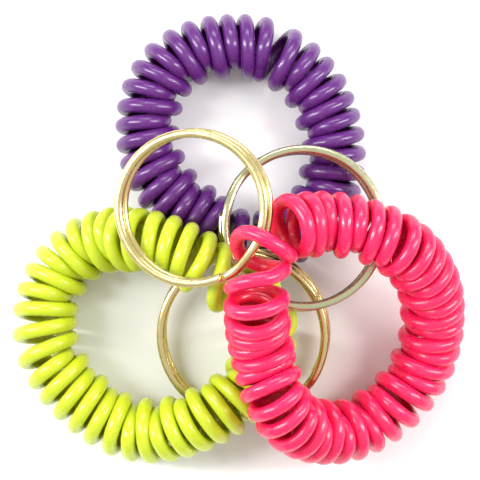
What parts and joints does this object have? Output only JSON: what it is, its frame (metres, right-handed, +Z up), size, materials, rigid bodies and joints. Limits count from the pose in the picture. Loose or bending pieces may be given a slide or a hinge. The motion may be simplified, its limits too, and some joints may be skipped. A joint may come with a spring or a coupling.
{
  "type": "spiral wrist band set",
  "caption": "Springy spiral plastic wrist bands, each a closed coil with a split key ring threaded on a loose turn, lying in an overlapping pile.",
  "frame": {"origin": "centre of the set's outline seen from above, on the surface it lies on", "axes": "+Z up, away from the surface; +Y towards the purple band; +X towards the pink band's side, -X towards the yellow band's side"},
  "size_m": [0.0896, 0.0893, 0.0372],
  "materials": {
    "purple_cord": "soft glossy moulded cord, slightly translucent",
    "yellow_cord": "soft glossy moulded cord, slightly translucent",
    "pink_cord": "soft glossy moulded cord, slightly translucent",
    "purple_ring_wire": "pale gold plated spring wire, polished",
    "yellow_ring_wire": "pale gold plated spring wire, polished",
    "pink_ring_wire": "pale gold plated spring wire, polished"
  },
  "bodies": {
    "purple_band": {"purple_coil": "purple_cord", "purple_loose_turns": "purple_cord"},
    "purple_ring": {"purple_split_ring": "purple_ring_wire"},
    "yellow_band": {"yellow_coil": "yellow_cord", "yellow_loose_turns": "yellow_cord"},
    "yellow_ring": {"yellow_split_ring": "yellow_ring_wire"},
    "pink_band": {"pink_coil": "pink_cord", "pink_loose_turns": "pink_cord"},
    "pink_ring": {"pink_split_ring": "pink_ring_wire"}
  },
  "joints": [
    {"name": "yellow_lift", "type": "slide", "parent": "purple_band", "child": "yellow_band", "axis": [0, 0, 1], "range_m": [0, 0.06]},
    {"name": "pink_lift", "type": "slide", "parent": "yellow_band", "child": "pink_band", "axis": [0, 0, 1], "range_m": [0, 0.06]},
    {"name": "purple_ring_turn", "type": "hinge", "parent": "purple_band", "child": "purple_ring", "pos_m": [0.0009, -0.0189, 0.0044], "axis": [-0.0483, -0.1488, 0.9877], "continuous": true},
    {"name": "yellow_ring_turn", "type": "hinge", "parent": "yellow_band", "child": "yellow_ring", "pos_m": [0.0124, 0.0021, 0.0151], "axis": [0.0113, 0.0046, 0.9999], "continuous": true},
    {"name": "pink_ring_swing", "type": "hinge", "parent": "pink_band", "child": "pink_ring", "pos_m": [0.0042, -0.0022, 0.0298], "axis": [0.4846, 0.8639, -0.1372], "range_deg": [0, 50]}
  ]
}
